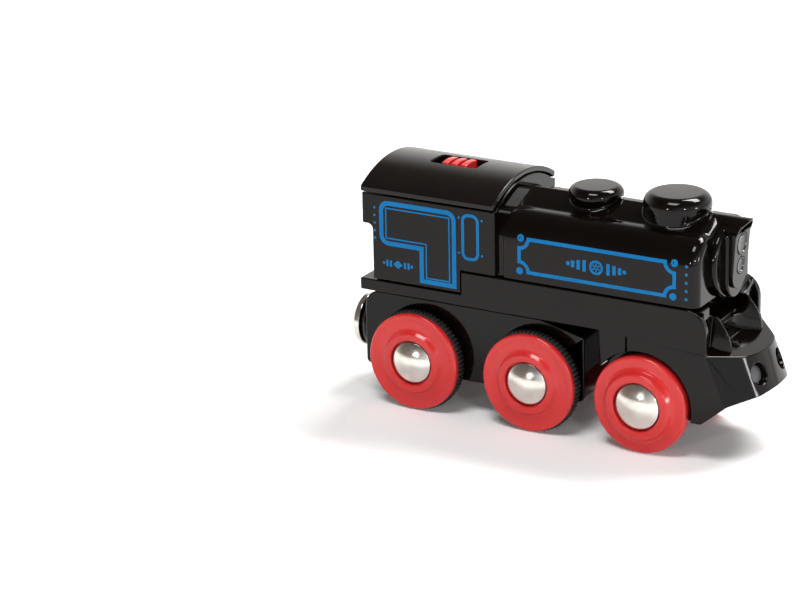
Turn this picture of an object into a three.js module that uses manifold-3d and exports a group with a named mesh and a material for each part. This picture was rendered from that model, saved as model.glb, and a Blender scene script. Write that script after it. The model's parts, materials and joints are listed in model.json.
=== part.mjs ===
// Battery steam locomotive for wooden toy railways: a moulded body on a fixed front axle, with a
// swivelling motor truck that carries the two driven axles and the rear magnet coupling.
// Millimetres. +X is forwards, +Z is up, and Z = 0 is the floor that the wheels stand on.
// Lengths along X are measured from the middle axle; the whole model is then shifted so that
// X = 0 is halfway between the two ends.

import * as THREE from "three";
import { mergeVertices } from "three/addons/utils/BufferGeometryUtils.js";
import { ConvexGeometry } from "three/addons/geometries/ConvexGeometry.js";
import Module from "manifold-3d";

// ---------------------------------------------------------------- driving dimensions
const GAP = 0.3;                // between pieces of one body that touch
const REAR_END = -53.0;         // steel face of the rear magnet
const FRONT_END = 55.9;         // foremost point of the plough
const SIDE = 15.1;              // half width of the moulded body
const BOILER_SIDE = 14.6;       // half width of the boiler
const WALL = 1.6;               // moulded wall thickness
const FLOOR = 2.4;              // thickness of the frame's floor

const REAR_AXLE = -30.5;
const MIDDLE_AXLE = 0;
const FRONT_AXLE = 28.4;
const TYRE_R = 12.0;            // rubber tyres of the driven wheels
const WHEEL_R = 11.56;          // plastic wheels
const WHEEL_FACE = 16.0;        // outer face of a rim from the centre line
const BOSS_FACE = 17.0;         // outer face of the raised boss around a hub cap
const BOSS_R = 7.6;
const FRONT_BOSS_R = 8.3;
const RIM = 1.25;               // thickness of the plastic rim outside a tyre
const WHEEL_BACK = 11.9;        // inner face of a wheel from the centre line
const TYRE_BACK = 12.5;
const HUB_R = 9.4;              // drum under a tyre
const RECESS_R = 5.4;           // recess around a hub cap
const CAP_R = 5.0;
const FRONT_CAP_R = 5.4;
const CAP_SEAT = 15.6;          // floor of that recess
const CAP_RISE = 1.0;           // hub cap dome outside the boss
const AXLE_R = 1.5;
const BORE_R = 1.8;
const BEARING_R = 1.7;

const DECK_Z = 30.6;            // parting line under the cab
const STEP_X = -17.6;           // where the parting line steps up
const BELT_Z = 36.1;            // parting line under the boiler
const FRAME_Z = 27.75;          // lower edge of the frame above the truck
const SKIRT_Z = 9.3;            // lower edge of the frame beside the front wheels
const DECK_END = -44.8;
const SKIRT_END = 17.9;         // rear edge of the front wheel boxes
const NOSE_X = 44.4;            // front edge of the side plates
const NOSE_CORNER = 6.5;        // round upper corner of the side plates
const WELL_R = 12.6;            // round recess behind each front wheel
const WELL_DEPTH = 11.4;        // half width left between the recesses

const CAB_REAR = -43.9;
const CAB_WALL = -41.2;
const CAB_FRONT = -8.7;
const NOTCH_Z = 42.4;           // rear notch under the cab overhang
const OVERHANG_Z = 44.3;
const ROOF_REAR = -44.1;
const ROOF_FRONT = -9.0;
const EAVE_Z = 52.1;
const EAVE_TOP_Z = 53.4;
const ROOF_TOP_Z = 57.7;
const ROOF_SIDE = 15.3;
const ROOF_THICK = 1.2;
const SLOT_X = -26.1;           // middle of the switch slot
const SLOT_LENGTH = 12.2;
const SLOT_WIDTH = 6.4;
const LIGHT_Z = 40.6;           // charging light above the charging socket
const BATTERY_Z = 41;

const BOILER_FRONT = 42.0;
const SHOULDER_Z = 45.2;        // top of the boiler's flat sides
const SHOULDER_R = 6.5;
const RIDGE_HALF = 7.1;         // half width of the ridge along the boiler's top
const RIDGE_Z = 54.35;
const SMOKEBOX_Z = 44.0;        // centre of the smokebox door
const SMOKEBOX_R = 8.8;
const LAMP_FRONT = 46.2;
const LAMP_HALF = 4.0;
const LAMP_UPPER_Z = 48.3;
const LAMP_LOWER_Z = 43.1;
const VISOR_Z = 50.9;           // underside of the lamp visor
const VISOR_CORNER = [47.3, 3.9, 52.8];
const VISOR_TIP = 48.6;         // point of the visor, in line with the ridge

const PLOUGH_DECK_Z = 25.9;
const PLOUGH_HOLE = [53.6, 5.7, 20.1];

const TRUCK_REAR = -45.8;
const TRUCK_FRONT = 12.4;
const TRUCK_SIDE = 11.4;
const TRUCK_TOP = 26.4;
const TRUCK_BOTTOM = 7.8;
const LID_LEDGE = 0.8;          // seat of the truck's cover in its side walls
const TRUCK_LID_END = 1.0;      // the top slopes down in front of this
const TRUCK_SHOULDER = 23.7;    // height of the front wall
const PIVOT_X = -15.25;         // truck pivot, halfway between the driven axles
const MOTOR_Z = 18.4;           // motor shaft height
const MAGNET_Z = 14.4;
const MAGNET_R = 6.2;
const MAGNET_FACE = -50.6;      // behind the steel cap
const WEB_X = -47.2;            // disc that joins the magnet's sleeve to the truck
const MOTOR_R = 5.0;
const GEAR_R = 3.9;
const SCREW_PLACES = [[-36.5, 11], [-36.5, -11]];
const TRUCK_CORNER = 4;         // round upper corner at the truck's rear
const LID_REAR = TRUCK_REAR + 3;
const LEAD_HOLE = [[-6.6, -1.2], [3.9, 9.1]];  // hole in the truck's cover for the motor's leads

// ---------------------------------------------------------------- materials
function material(color, roughness, metalness) {
  return new THREE.MeshStandardMaterial({ color, roughness, metalness });
}

const finishes = {
  blackGloss: () => material(0x0c0b0b, 0.15, 0),
  blackMatt: () => material(0x1a1a1a, 0.6, 0),
  red: () => material(0xd23b38, 0.35, 0),
  rubber: () => material(0x141414, 0.9, 0),
  steel: () => material(0xc9c5ba, 0.2, 1),
  lens: () => material(0x4a4744, 0.1, 0),
  board: () => material(0x1f5c34, 0.6, 0),
  battery: () => material(0x3a6fb0, 0.5, 0),
  brass: () => material(0xb89045, 0.3, 1),
  nylon: () => material(0xe8e4d8, 0.5, 0),
};

// ---------------------------------------------------------------- solid modelling helpers
const wasm = await Module();
wasm.setup();

function toSolid(geometry) {
  const bare = geometry.clone();
  bare.deleteAttribute("normal");
  bare.deleteAttribute("uv");
  const merged = mergeVertices(bare, 1e-4);
  const vertProperties = new Float32Array(merged.attributes.position.array);
  const triVerts = new Uint32Array(merged.index.array);
  return new wasm.Manifold(new wasm.Mesh({ numProp: 3, vertProperties, triVerts }));
}

function toGeometry(solid) {
  const mesh = solid.getMesh();
  const geometry = new THREE.BufferGeometry();
  geometry.setAttribute("position", new THREE.BufferAttribute(mesh.vertProperties, 3));
  geometry.setIndex(new THREE.BufferAttribute(mesh.triVerts, 1));
  geometry.computeVertexNormals();
  return geometry;
}

// Joins the geometries of `added`, then cuts away those of `removed`.
function carve(added, removed = []) {
  let solid = toSolid(added[0]);
  for (const geometry of added.slice(1)) solid = solid.add(toSolid(geometry));
  for (const geometry of removed) solid = solid.subtract(toSolid(geometry));
  return toGeometry(solid);
}

function common(first, second) {
  return toGeometry(toSolid(first).intersect(toSolid(second)));
}

function box([x0, x1], [y0, y1], [z0, z1]) {
  const geometry = new THREE.BoxGeometry(x1 - x0, y1 - y0, z1 - z0);
  return geometry.translate((x0 + x1) / 2, (y0 + y1) / 2, (z0 + z1) / 2);
}

function extrude(shape, depth, bevel = 0) {
  return new THREE.ExtrudeGeometry(shape, {
    depth: depth - 2 * bevel,
    bevelEnabled: bevel > 0,
    bevelThickness: bevel,
    bevelSize: bevel,
    bevelOffset: -bevel,
    bevelSegments: 3,
    curveSegments: 6,
  }).translate(0, 0, bevel);
}

// A side-view outline (x, z) run across the model from y0 to y1.
function alongY(shape, [y0, y1]) {
  return extrude(shape, y1 - y0).rotateX(Math.PI / 2).translate(0, y1, 0);
}

// An end-view outline (y, z) run along the model from x0 to x1.
function alongX(shape, [x0, x1], bevel = 0) {
  const turn = new THREE.Matrix4().makeBasis(
    new THREE.Vector3(0, 1, 0),
    new THREE.Vector3(0, 0, 1),
    new THREE.Vector3(1, 0, 0),
  );
  return extrude(shape, x1 - x0, bevel).applyMatrix4(turn).translate(x0, 0, 0);
}

function outline(points) {
  return new THREE.Shape(points.map(([u, v]) => new THREE.Vector2(u, v)));
}

// Points on a circular arc, for use inside an outline. Angles are in degrees.
function arc(u, v, radius, from, to, steps) {
  return Array.from({ length: steps + 1 }, (_, i) => {
    const angle = THREE.MathUtils.degToRad(from + ((to - from) * i) / steps);
    return [u + radius * Math.cos(angle), v + radius * Math.sin(angle)];
  });
}

// A solid of revolution about Y from [radius, height] points.
function lathe(profile, segments = 28) {
  return new THREE.LatheGeometry(profile.map(([r, h]) => new THREE.Vector2(r, h)), segments);
}

function rod(radius, from, to, segments = 24) {
  return lathe([[0, from], [radius, from], [radius, to], [0, to]], segments);
}

function ring(inner, outer, from, to, segments = 28) {
  return lathe([[inner, from], [outer, from], [outer, to], [inner, to], [inner, from]], segments);
}

const pointX = (geometry) => geometry.rotateZ(-Math.PI / 2);
const pointZ = (geometry) => geometry.rotateX(Math.PI / 2);

// ---------------------------------------------------------------- scene bookkeeping
const locomotive = new THREE.Group();
const model = new THREE.Group();
model.position.x = -(REAR_END + FRONT_END) / 2;
locomotive.add(model);

function place(name, geometry, finish, parent = model) {
  const mesh = new THREE.Mesh(geometry, finishes[finish]());
  mesh.name = name;
  parent.add(mesh);
  return mesh;
}

// ---------------------------------------------------------------- body
// Arched end-view outline: flat sides up to the eave and a circular arc over the top.
function archOutline(half, bottom, eave, top, steps) {
  const sag = top - eave;
  const radius = (half * half + sag * sag) / (2 * sag);
  const spread = THREE.MathUtils.radToDeg(Math.asin(half / radius));
  const crown = arc(0, top - radius, radius, 90 - spread, 90 + spread, steps);
  return [[half, bottom], ...crown, [-half, bottom]];
}

function cabSideOutline(inset, top) {
  const notchR = OVERHANG_Z - NOTCH_Z;
  return outline([
    [CAB_REAR + inset, top],
    [CAB_REAR + inset, OVERHANG_Z - inset / 2],
    ...arc(CAB_WALL - notchR + inset, NOTCH_Z - inset / 2, notchR, 90, 0, 3),
    [CAB_WALL + inset, DECK_Z - inset],
    [STEP_X + inset, DECK_Z - inset],
    [STEP_X + inset, BELT_Z - inset],
    [CAB_FRONT - inset, BELT_Z - inset],
    [CAB_FRONT - inset, top],
  ]);
}

// End view of the boiler, moved in by inset: flat sides, round shoulders and a low ridge.
function boilerSection(inset, bottom) {
  const half = BOILER_SIDE - inset;
  const shoulder = arc(BOILER_SIDE - SHOULDER_R, SHOULDER_Z, SHOULDER_R - inset, 0, 90, 5);
  const right = [[half, bottom], ...shoulder, [RIDGE_HALF, SHOULDER_Z + SHOULDER_R - inset]];
  const left = right.map(([y, z]) => [-y, z]).reverse();
  return outline([...right, [0, RIDGE_Z - inset], ...left]);
}

function upperShell() {
  const ledge = EAVE_Z - GAP;
  const inset = ROOF_THICK + GAP;
  const gable = archOutline(ROOF_SIDE - inset, ledge, EAVE_Z, ROOF_TOP_Z - inset, 10);
  const wall = [[-SIDE, ledge], [-SIDE, DECK_Z - 1], [SIDE, DECK_Z - 1], [SIDE, ledge]];
  const cab = common(
    alongY(cabSideOutline(0, ROOF_TOP_Z), [-SIDE, SIDE]),
    alongX(outline([...wall, ...gable]), [CAB_REAR - 1, CAB_FRONT + 1]),
  );
  const boiler = alongX(boilerSection(0, BELT_Z), [CAB_FRONT - 6, BOILER_FRONT], 1.2);
  const cabRoom = alongY(cabSideOutline(WALL, ROOF_TOP_Z + 1), [WALL - SIDE, SIDE - WALL]);
  const boilerRoom = alongX(boilerSection(WALL, BELT_Z - 1), [CAB_FRONT - 8, BOILER_FRONT - WALL]);
  const across = [-SIDE - 1, SIDE + 1];
  const bottomTrim = box([CAB_FRONT - 7, BOILER_FRONT + 1], across, [BELT_Z - 3, BELT_Z + GAP]);
  const inlet = box([CAB_WALL - 1, CAB_WALL + WALL + 1], [-4.4, 4.4], [34.5, 39.0]);
  const lightHole = pointX(rod(1.3, CAB_WALL - 1, CAB_WALL + WALL + 1, 16)).translate(0, 0, LIGHT_Z);
  return carve([cab, boiler], [cabRoom, boilerRoom, bottomTrim, inlet, lightHole]);
}

function cabRoof() {
  const outer = archOutline(ROOF_SIDE, EAVE_Z, EAVE_TOP_Z, ROOF_TOP_Z, 14);
  const inner = archOutline(ROOF_SIDE - ROOF_THICK, EAVE_Z, EAVE_TOP_Z - 0.8, ROOF_TOP_Z - ROOF_THICK, 14);
  const shell = alongX(outline([...outer, ...inner.reverse()]), [ROOF_REAR, ROOF_FRONT]);
  const half = SLOT_LENGTH / 2;
  const slot = box([SLOT_X - half, SLOT_X + half], [-SLOT_WIDTH / 2, SLOT_WIDTH / 2], [50, 60]);
  return carve([shell], [slot]);
}

function ploughHull(inset) {
  const top = [[38, SIDE], [NOSE_X, SIDE], [51.2, 8.4], [52.3, 4], [52.6, 0]];
  const bottom = [[38, SIDE], [49.5, SIDE], [54.7, 8], [55.7, 4], [FRONT_END, 0]];
  const points = [];
  for (const side of [-1, 1]) {
    for (const [x, y] of top) {
      const slope = (Math.max(x, NOSE_X) - NOSE_X) * 0.19;
      const z = PLOUGH_DECK_Z - slope - inset;
      points.push(new THREE.Vector3(x - inset, side * Math.max(y - inset, 0), z));
    }
    for (const [x, y] of bottom) {
      const rise = Math.min(1.7, (SIDE - y) * 0.18);
      points.push(new THREE.Vector3(x - inset, side * Math.max(y - inset, 0), 14.3 + rise - 4 * inset));
    }
  }
  return new ConvexGeometry(points);
}

function ploughSocket(side) {
  const [x, y, z] = PLOUGH_HOLE;
  return pointX(rod(2.75, -3.2, 3)).rotateY(0.4).rotateZ(side * 0.2).translate(x, side * y, z);
}

function chassisFrame() {
  const side = outline([
    [DECK_END, FRAME_Z],
    [DECK_END, DECK_Z],
    [STEP_X, DECK_Z],
    [STEP_X, BELT_Z],
    [NOSE_X - NOSE_CORNER, BELT_Z],
    ...arc(NOSE_X - NOSE_CORNER, BELT_Z - NOSE_CORNER, NOSE_CORNER, 80, 10, 3),
    [NOSE_X, PLOUGH_DECK_Z],
    [49.5, 14.3],
    [43.4, SKIRT_Z],
    [SKIRT_END + 1, SKIRT_Z],
    [SKIRT_END, FRAME_Z],
  ].reverse());
  const hull = alongY(side, [-SIDE, SIDE]);
  const inside = SIDE - WALL;
  const deckRoom = box([DECK_END + WALL, 40.6], [-inside, inside], [FRAME_Z + FLOOR, BELT_Z + 1]);
  const noseRoom = box([BOILER_FRONT + GAP, NOSE_X + 12], [-inside, inside], [PLOUGH_DECK_Z, BELT_Z + 1]);
  const cradle = pointX(rod(11, 38, 50)).translate(0, 0, SMOKEBOX_Z);
  const skirtRoom = box([SKIRT_END + 3, 42], [-9.8, 9.8], [SKIRT_Z - 1, FRAME_Z - 3]);
  const ploughRoom = ploughHull(WALL);
  const noseCut = box([NOSE_X - 3, FRONT_END + 5], [-inside, inside], [SKIRT_Z - 1, 13.2]);
  const wells = [rod(WELL_R, WELL_DEPTH, SIDE + 5, 32), rod(WELL_R, -SIDE - 5, -WELL_DEPTH, 32)];
  wells.forEach((well) => well.translate(FRONT_AXLE, 0, WHEEL_R));
  const bearing = rod(BEARING_R, -SIDE, SIDE).translate(FRONT_AXLE, 0, WHEEL_R);
  const pivotHole = pointZ(rod(2.2, 20, 40)).translate(PIVOT_X, 0, 0);
  const screwHoles = SCREW_PLACES.map(([x, y]) => pointZ(rod(1.4, 20, 40)).translate(x, y, 0));
  const screwHeads = SCREW_PLACES.map(([x, y]) => pointZ(rod(2.6, 20, FRAME_Z + 1.3)).translate(x, y, 0));
  const sockets = [-1, 1].map(ploughSocket);
  return carve(
    [hull, ploughHull(0)],
    [deckRoom, noseRoom, cradle, skirtRoom, ploughRoom, noseCut, ...wells, bearing, pivotHole,
      ...screwHoles, ...screwHeads, ...sockets],
  );
}

// Upright wedge on the plough's deck: a curved front rim between two flat flanks.
function fin(side) {
  const foot = PLOUGH_DECK_Z + GAP;
  const rim = [[47.7, foot], [47.4, 28], [46.3, 30.2], [45, 32.2], [43.9, 33.2]];
  const points = rim.map(([x, z]) => new THREE.Vector3(x, side * 8.4, z));
  for (const [y, top] of [[10.6, 32.6], [3.4, 29]]) {
    points.push(new THREE.Vector3(43, side * y, foot));
    points.push(new THREE.Vector3(43, side * y, top));
  }
  return new ConvexGeometry(points);
}

function smokeboxDoor() {
  const x = BOILER_FRONT + GAP;
  const rim = [[SMOKEBOX_R, x + 0.8], [SMOKEBOX_R - 0.5, x + 1.2]];
  const profile = [[0, x], [SMOKEBOX_R, x], ...rim, [0, x + 1.5]];
  const disc = pointX(lathe(profile, 36)).translate(0, 0, SMOKEBOX_Z);
  const visorRoom = box([x - 1, x + 3], [-4.5 - GAP, 4.5 + GAP], [VISOR_Z - GAP, 60]);
  return carve([disc], [visorRoom]);
}

// Upright plate with a half-round foot, as seen from the front.
function stadium(half, footZ, topZ) {
  return outline([[half, topZ], [-half, topZ], ...arc(0, footZ + half, half, 180, 360, 12)]);
}

function lampHousing() {
  const [rear, top] = [BOILER_FRONT + 1.5 + 2 * GAP, VISOR_Z - GAP];
  const backPlate = alongX(stadium(LAMP_HALF + 0.6, 35.4, top), [rear, 44.7]);
  const front = alongX(stadium(LAMP_HALF, 37.7, top), [44.5, LAMP_FRONT]);
  const upper = pointX(rod(2.7, LAMP_FRONT - 1.2, 50, 20)).translate(0, 0, LAMP_UPPER_Z);
  const lower = pointX(rod(2.1, LAMP_FRONT - 1.2, 50, 20)).translate(0, 0, LAMP_LOWER_Z);
  return carve([backPlate, front], [upper, lower]);
}

// Pointed hood over the lamps that carries on the boiler's ridge.
function lampVisor() {
  const rear = BOILER_FRONT + GAP;
  const [cornerX, cornerY, cornerZ] = VISOR_CORNER;
  const points = [new THREE.Vector3(rear, 0, RIDGE_Z), new THREE.Vector3(VISOR_TIP, 0, RIDGE_Z)];
  for (const side of [-1, 1]) {
    points.push(new THREE.Vector3(rear, side * cornerY, cornerZ));
    points.push(new THREE.Vector3(cornerX, side * cornerY, cornerZ));
    points.push(new THREE.Vector3(rear, side * LAMP_HALF, VISOR_Z));
    points.push(new THREE.Vector3(LAMP_FRONT + 0.4, side * LAMP_HALF, VISOR_Z));
  }
  return new ConvexGeometry(points);
}

function lampLens(radius, z) {
  const front = LAMP_FRONT - 0.5;
  return pointX(rod(radius, LAMP_FRONT - 1.2 + GAP, front, 16)).translate(0, 0, z);
}

function boilerFitting(profile, x) {
  const turned = pointZ(lathe(profile, 32)).translate(x, 0, 0);
  const saddle = alongX(boilerSection(-GAP, 30), [x - 12, x + 12]);
  return carve([turned], [saddle]);
}

function steamDome() {
  const cap = [[6.4, 54.2], [6.2, 55.6], [4.8, 56.7], [0, 56.9]];
  return boilerFitting([[0, 50], [5.9, 50], [5.9, 52.6], ...cap], 9.7);
}

function chimney() {
  return boilerFitting([[0, 49], [7.9, 49], [7.85, 55.8], [7.2, 57.5], [5.6, 58.2], [0, 58.2]], 30.2);
}

function ploughStud(side) {
  const [x, y, z] = PLOUGH_HOLE;
  return pointX(rod(2.0, -2.8, -1.4, 20)).rotateY(0.4).rotateZ(side * 0.2).translate(x, side * y, z);
}

function panHeadScrew(x, y, seatZ) {
  const tip = seatZ + 3.5;
  const profile = [[0, seatZ - 1], [2.2, seatZ - 0.7], [2.2, seatZ], [1.1, seatZ], [1.1, tip], [0, tip]];
  return pointZ(lathe(profile, 20)).translate(x, y, 0);
}

function bodyPieces() {
  place("upper_shell", upperShell(), "blackGloss");
  place("cab_roof", cabRoof(), "blackGloss");
  place("chassis_frame", chassisFrame(), "blackGloss");
  place("smokebox_door", smokeboxDoor(), "blackGloss");
  place("headlamp_housing", lampHousing(), "blackGloss");
  place("headlamp_visor", lampVisor(), "blackGloss");
  place("headlamp_lens_upper", lampLens(2.35, LAMP_UPPER_Z), "lens");
  place("headlamp_lens_lower", lampLens(1.75, LAMP_LOWER_Z), "lens");
  place("steam_dome", steamDome(), "blackGloss");
  place("chimney", chimney(), "blackGloss");
  for (const [name, side] of [["left", 1], ["right", -1]]) {
    place(`nose_fin_${name}`, fin(side), "blackGloss");
    place(`plough_stud_${name}`, ploughStud(side), "blackMatt");
  }
  SCREW_PLACES.forEach(([x, y], i) => {
    place(`frame_screw_${i + 1}`, panHeadScrew(x, y, FRAME_Z + 1), "steel");
  });
}

// ---------------------------------------------------------------- electrics inside the body
function batteryCradle() {
  const block = box([4, 34], [-8.4, 8.4], [FRAME_Z + FLOOR + GAP, 38]);
  const trough = pointX(rod(7.3, 2, 36, 28)).translate(0, 0, BATTERY_Z);
  return carve([block], [trough]);
}

function battery() {
  const [rear, front, radius] = [5, 33, 7.0];
  const terminal = [[2.4, front], [2.4, front + 1.4], [0, front + 1.4]];
  const profile = [[0, rear], [radius, rear], [radius, front], ...terminal];
  return pointX(lathe(profile, 28)).translate(0, 0, BATTERY_Z);
}

function switchHousing() {
  const body = box([SLOT_X - 8, SLOT_X + 8], [-5, 5], [46.5, 51.2]);
  const legs = [-7, 7].map((step) => box([SLOT_X + step - 1, SLOT_X + step + 1], [-4, 4], [35.1, 47]));
  const stemRoom = box([SLOT_X - 4.6, SLOT_X + 4.6], [-1.9, 1.9], [48, 52]);
  return carve([body, ...legs], [stemRoom]);
}

// Thumb piece with three cross ribs over a narrow stem.
function switchSlider() {
  const crest = arc(0, 53.9, 4.2, 50, 130, 6);
  const section = outline([[2.7, 55], [2.7, 57.1], ...crest, [-2.7, 57.1], [-2.7, 55]]);
  const rib = (x) => alongX(section, [x - 0.75, x + 0.75]);
  const base = box([SLOT_X - 3.3, SLOT_X + 3.3], [-2.7, 2.7], [54.2, 56.2]);
  const stem = box([SLOT_X - 1.5, SLOT_X + 1.5], [-1.5, 1.5], [48.6, 54.6]);
  return carve([base, stem, ...[-2.4, 0, 2.4].map((step) => rib(SLOT_X + step))]);
}

function usbSocket() {
  const shell = box([CAB_WALL + 0.4, CAB_WALL + 6], [-3.9, 3.9], [35.1, 38.4]);
  const mouth = outline([[-3.5, 38], [-3.5, 36.4], [-2.6, 35.5], [2.6, 35.5], [3.5, 36.4], [3.5, 38]]);
  return carve([shell], [alongX(mouth, [CAB_WALL, CAB_WALL + 5.2])]);
}

function electricPieces() {
  place("battery_cradle", batteryCradle(), "blackMatt");
  place("battery_cell", battery(), "battery");
  place("circuit_board", box([-39, -11], [-10, 10], [33.2, 34.8]), "board");
  place("charging_socket", usbSocket(), "steel");
  const light = pointX(rod(1.0, CAB_WALL + 0.2, CAB_WALL + 4, 16));
  place("charging_light", light.translate(0, 0, LIGHT_Z), "lens");
  place("switch_housing", switchHousing(), "blackMatt");
  place("switch_slider", switchSlider(), "red");
}

// ---------------------------------------------------------------- motor truck
function truckHousing() {
  const side = outline([
    [TRUCK_REAR, TRUCK_BOTTOM + 1.5],
    [TRUCK_REAR + 1.5, TRUCK_BOTTOM],
    [TRUCK_FRONT - 1.5, TRUCK_BOTTOM],
    [TRUCK_FRONT, TRUCK_BOTTOM + 1.5],
    [TRUCK_FRONT, TRUCK_SHOULDER],
    [TRUCK_LID_END, TRUCK_TOP],
    ...arc(TRUCK_REAR + TRUCK_CORNER, TRUCK_TOP - TRUCK_CORNER, TRUCK_CORNER, 90, 180, 4),
  ]);
  const hull = alongY(side, [-TRUCK_SIDE, TRUCK_SIDE]);
  const inside = TRUCK_SIDE - WALL;
  const floor = TRUCK_BOTTOM + WALL;
  const room = alongY(outline([
    [TRUCK_REAR + WALL, floor],
    [TRUCK_FRONT - WALL, floor],
    [TRUCK_FRONT - WALL, TRUCK_SHOULDER - WALL],
    [TRUCK_LID_END - WALL, TRUCK_TOP - WALL],
    [TRUCK_LID_END - WALL, TRUCK_TOP + 1],
    [TRUCK_REAR + TRUCK_CORNER, TRUCK_TOP + 1],
    [TRUCK_REAR + TRUCK_CORNER, TRUCK_TOP - WALL],
    [TRUCK_REAR + WALL, TRUCK_TOP - TRUCK_CORNER],
  ]), [-inside, inside]);
  const ledge = inside + LID_LEDGE;
  const lid = box([LID_REAR, TRUCK_LID_END], [-ledge, ledge], [TRUCK_TOP - WALL, TRUCK_TOP + 1]);
  const axles = [REAR_AXLE, MIDDLE_AXLE];
  const bearings = axles.map((x) => rod(BEARING_R, -SIDE, SIDE).translate(x, 0, TYRE_R));
  const blisters = axles.map((x) => gearBlister(x, 0));
  const pockets = axles.map((x) => gearBlister(x, 1.2));
  return carve([hull, ...blisters], [room, lid, ...bearings, ...pockets]);
}

// Bulge under the floor that clears an axle gear.
function gearBlister(x, inset) {
  const reach = GEAR_R + 2.2 - inset;
  const low = TYRE_R - GEAR_R - 1.6 + inset;
  return box([x - reach, x + reach], [-4 + inset, 4 - inset], [low, TRUCK_BOTTOM + 0.5 + 2 * inset]);
}

function truckCover() {
  const half = TRUCK_SIDE - WALL + LID_LEDGE - GAP;
  const heights = [TRUCK_TOP - WALL + GAP, TRUCK_TOP];
  const plate = box([LID_REAR + GAP, TRUCK_LID_END - GAP], [-half, half], heights);
  const pivot = pointZ(rod(2.4, 20, 30)).translate(PIVOT_X, 0, 0);
  return carve([plate], [pivot, box(...LEAD_HOLE, [20, 30])]);
}

// Shouldered screw that holds the truck up to the frame and lets it swing.
function pivotScrew() {
  const top = FRAME_Z + FLOOR + GAP;
  const seat = TRUCK_TOP - WALL;
  const profile = [
    [0, seat - 1], [3.8, seat - 1], [3.8, seat], [1.9, seat],
    [1.9, top], [3.2, top], [3.2, top + 1.2], [0, top + 1.2],
  ];
  return pointZ(lathe(profile, 24)).translate(PIVOT_X, 0, 0);
}

function motorCase() {
  const can = ring(1.6, MOTOR_R, PIVOT_X - 8.5, PIVOT_X + 8.5, 24);
  return pointX(can).translate(0, 0, MOTOR_Z);
}

function magnetHolder() {
  const tube = ring(5.0, MAGNET_R, MAGNET_FACE, TRUCK_REAR - GAP, 36);
  const web = rod(5.5, WEB_X, TRUCK_REAR - GAP, 36);
  return toMagnetAxis(carve([pointX(tube), pointX(web)]));
}

const toMagnetAxis = (geometry) => geometry.translate(0, 0, MAGNET_Z);

function truckPieces() {
  place("truck_housing", truckHousing(), "blackGloss");
  place("truck_cover", truckCover(), "blackMatt");
  place("truck_pivot_screw", pivotScrew(), "steel");
  place("motor_case", motorCase(), "steel");
  place("magnet_holder", magnetHolder(), "blackGloss");
  place("coupling_magnet", toMagnetAxis(pointX(rod(4.7, MAGNET_FACE, WEB_X - GAP))), "blackMatt");
  const back = MAGNET_FACE - GAP;
  const cap = [[0, REAR_END], [5.4, REAR_END], [6.4, REAR_END + 0.8], [6.4, back], [0, back]];
  place("magnet_cap", toMagnetAxis(pointX(lathe(cap, 36))), "steel");
}

function rotorPieces() {
  const along = (geometry) => pointX(geometry).translate(0, 0, MOTOR_Z);
  place("motor_shaft", along(rod(1.0, REAR_AXLE - 5, MIDDLE_AXLE + 5, 16)), "steel");
  for (const [name, x] of [["rear", REAR_AXLE], ["middle", MIDDLE_AXLE]]) {
    place(`worm_${name}`, along(ring(1.3, 2.2, x - 3.6, x + 3.6, 16)), "brass");
  }
}

// ---------------------------------------------------------------- wheels
// Outer face of a wheel as [radius, distance] points: hub recess, raised boss, web and rim.
function wheelFace(recess, boss) {
  return [
    [recess, CAP_SEAT], [recess, BOSS_FACE], [boss - 0.6, BOSS_FACE], [boss, BOSS_FACE - 0.5],
    [boss + 0.3, WHEEL_FACE - 0.3], [WHEEL_R - 0.9, WHEEL_FACE], [WHEEL_R, WHEEL_FACE - 0.7],
  ];
}

function drivenWheel() {
  const shoulder = WHEEL_FACE - RIM;
  return lathe([
    [BORE_R, WHEEL_BACK], [HUB_R, WHEEL_BACK], [HUB_R, shoulder], [WHEEL_R, shoulder],
    ...wheelFace(RECESS_R, BOSS_R).reverse(), [BORE_R, CAP_SEAT], [BORE_R, WHEEL_BACK],
  ]);
}

function trailingWheel() {
  return lathe([
    [BORE_R, WHEEL_BACK], [WHEEL_R - 0.5, WHEEL_BACK], [WHEEL_R, WHEEL_BACK + 0.5],
    ...wheelFace(FRONT_CAP_R + 0.4, FRONT_BOSS_R).reverse(), [BORE_R, CAP_SEAT], [BORE_R, WHEEL_BACK],
  ]);
}

function hubCap(radius) {
  const base = CAP_SEAT + GAP;
  const edge = BOSS_FACE - 0.3;
  const tip = BOSS_FACE + CAP_RISE;
  const height = (share) => edge + (tip - edge) * (1 - share * share);
  const dome = [1, 0.85, 0.6, 0.3].map((share) => [radius * share, height(share)]);
  return lathe([[0, base], [radius, base], ...dome, [0, tip]], 20);
}

function axleGear() {
  const teeth = 16;
  const root = GEAR_R - 0.6;
  const shape = new THREE.Shape();
  for (let i = 0; i < teeth; i += 1) {
    for (const [share, radius] of [[0.1, root], [0.35, GEAR_R], [0.65, GEAR_R], [0.9, root]]) {
      const angle = ((i + share) * 2 * Math.PI) / teeth;
      shape[i + share === 0.1 ? "moveTo" : "lineTo"](radius * Math.cos(angle), radius * Math.sin(angle));
    }
  }
  shape.holes.push(new THREE.Path().absarc(0, 0, BORE_R, 0, 2 * Math.PI, true));
  return extrude(shape, 4).translate(0, 0, -2).rotateX(Math.PI / 2);
}

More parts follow.
